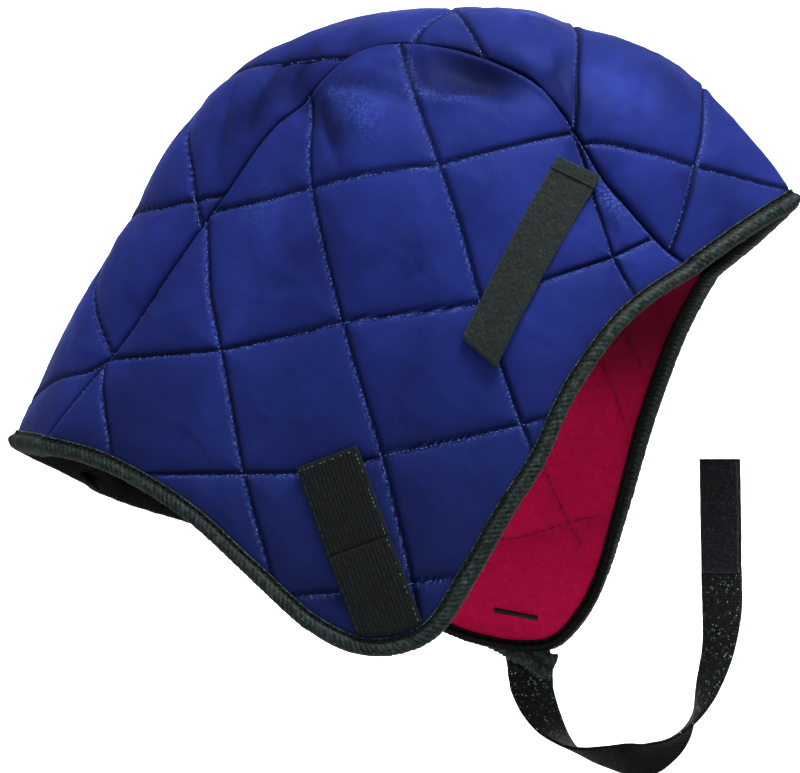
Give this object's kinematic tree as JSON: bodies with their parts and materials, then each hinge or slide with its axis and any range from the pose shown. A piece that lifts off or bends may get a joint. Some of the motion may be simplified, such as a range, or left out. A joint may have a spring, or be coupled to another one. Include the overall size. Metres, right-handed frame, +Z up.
{
  "type": "helmet liner",
  "caption": "Winter helmet liner: quilted satin cap with fleece inside, ear flaps, bound rim, temple tabs and a chin strap that fastens with hook tape.",
  "frame": {"origin": "inside top of the crown, on the middle plane, where the liner sits on a head", "axes": "+X towards the face, +Y towards the wearer's left, +Z up"},
  "size_m": [0.2782, 0.1407, 0.2624],
  "materials": {
    "satin": "royal blue quilted satin, soft sheen, thread-dark stitch lines",
    "fleece": "red brushed fleece, matt",
    "binding": "black ribbed bias tape, slight sheen",
    "loop_tape": "dark olive-grey loop tape, fuzzy, matt",
    "black_tape": "near-black ribbed tape, matt",
    "webbing": "black woven webbing, slight sheen",
    "hook_tape": "black hook tape, shiny"
  },
  "bodies": {
    "root": {"band_shell": "satin", "right_shell": "satin", "left_shell": "satin", "band_lining": "fleece", "right_lining": "fleece", "left_lining": "fleece", "rim_binding": "binding", "right_temple_tab": "loop_tape", "left_temple_tab": "loop_tape", "right_flap_patch_upper": "black_tape", "right_flap_patch_lower": "black_tape", "chin_strap": "webbing", "chin_strap_hook_patch": "hook_tape"}
  },
  "joints": []
}
